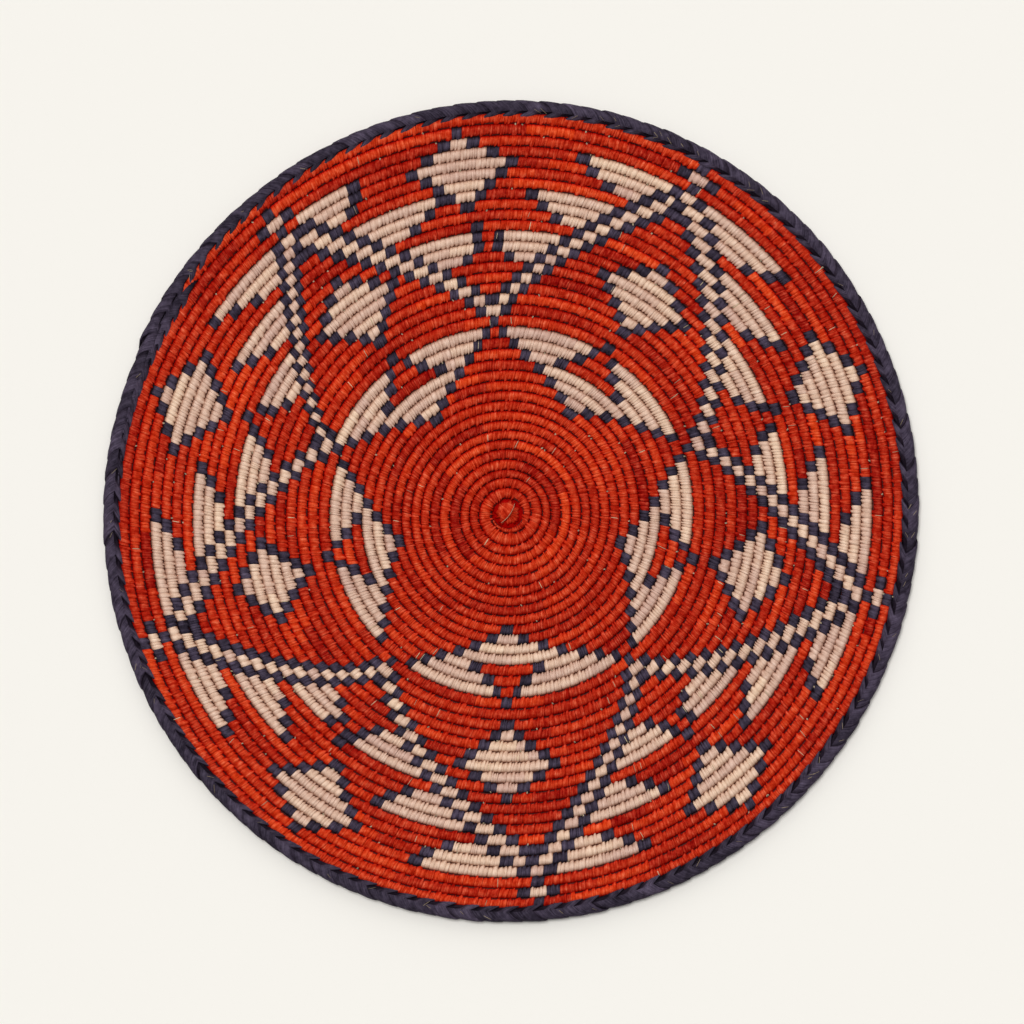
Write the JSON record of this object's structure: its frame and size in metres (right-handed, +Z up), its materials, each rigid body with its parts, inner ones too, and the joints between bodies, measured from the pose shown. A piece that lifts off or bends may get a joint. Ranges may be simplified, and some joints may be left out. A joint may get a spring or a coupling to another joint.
{
  "type": "coiled wall basket",
  "caption": "Flat round wall basket, coiled from a grass bundle wrapped in dyed leaf strips, with a star pattern and a plaited leaf rim.",
  "frame": {"origin": "centre of the coil, on the flat back of the centre knot, where the basket lies against the wall", "axes": "+Z up as the basket hangs, +Y out of its back towards the wall, so the patterned front faces -Y; +X is to the right as seen from the front"},
  "size_m": [0.4, 0.0066, 0.4],
  "materials": {
    "red_leaf": "dyed red palm leaf, wrapped",
    "dry_grass": "dry grass bundle",
    "navy_leaf": "dyed navy palm leaf, wrapped",
    "navy_plait": "dyed navy palm leaf, plaited"
  },
  "bodies": {
    "root": {"centre_knot": "red_leaf", "foundation_bundle": "dry_grass", "coil_tail": "navy_leaf", "rim_plait": "navy_plait", "wrap_row_01": "red_leaf", "wrap_row_02": "red_leaf", "wrap_row_03": "red_leaf", "wrap_row_04": "red_leaf", "wrap_row_05": "red_leaf", "wrap_row_06": "red_leaf", "wrap_row_07": "red_leaf", "wrap_row_08": "red_leaf", "wrap_row_09": "red_leaf", "wrap_row_10": "red_leaf", "wrap_row_11": "red_leaf", "wrap_row_12": "red_leaf", "wrap_row_13": "red_leaf", "wrap_row_14": "red_leaf", "wrap_row_15": "red_leaf", "wrap_row_16": "red_leaf", "wrap_row_17": "red_leaf", "wrap_row_18": "red_leaf", "wrap_row_19": "red_leaf", "wrap_row_20": "red_leaf", "wrap_row_21": "red_leaf", "wrap_row_22": "red_leaf", "wrap_row_23": "red_leaf", "wrap_row_24": "red_leaf", "wrap_row_25": "red_leaf", "wrap_row_26": "red_leaf", "wrap_row_27": "red_leaf", "wrap_row_28": "red_leaf", "wrap_row_29": "red_leaf", "wrap_row_30": "red_leaf", "wrap_row_31": "red_leaf", "wrap_row_32": "red_leaf", "wrap_row_33": "red_leaf", "wrap_row_34": "red_leaf", "wrap_row_35": "red_leaf", "wrap_row_36": "red_leaf", "wrap_row_37": "red_leaf"}
  },
  "joints": []
}
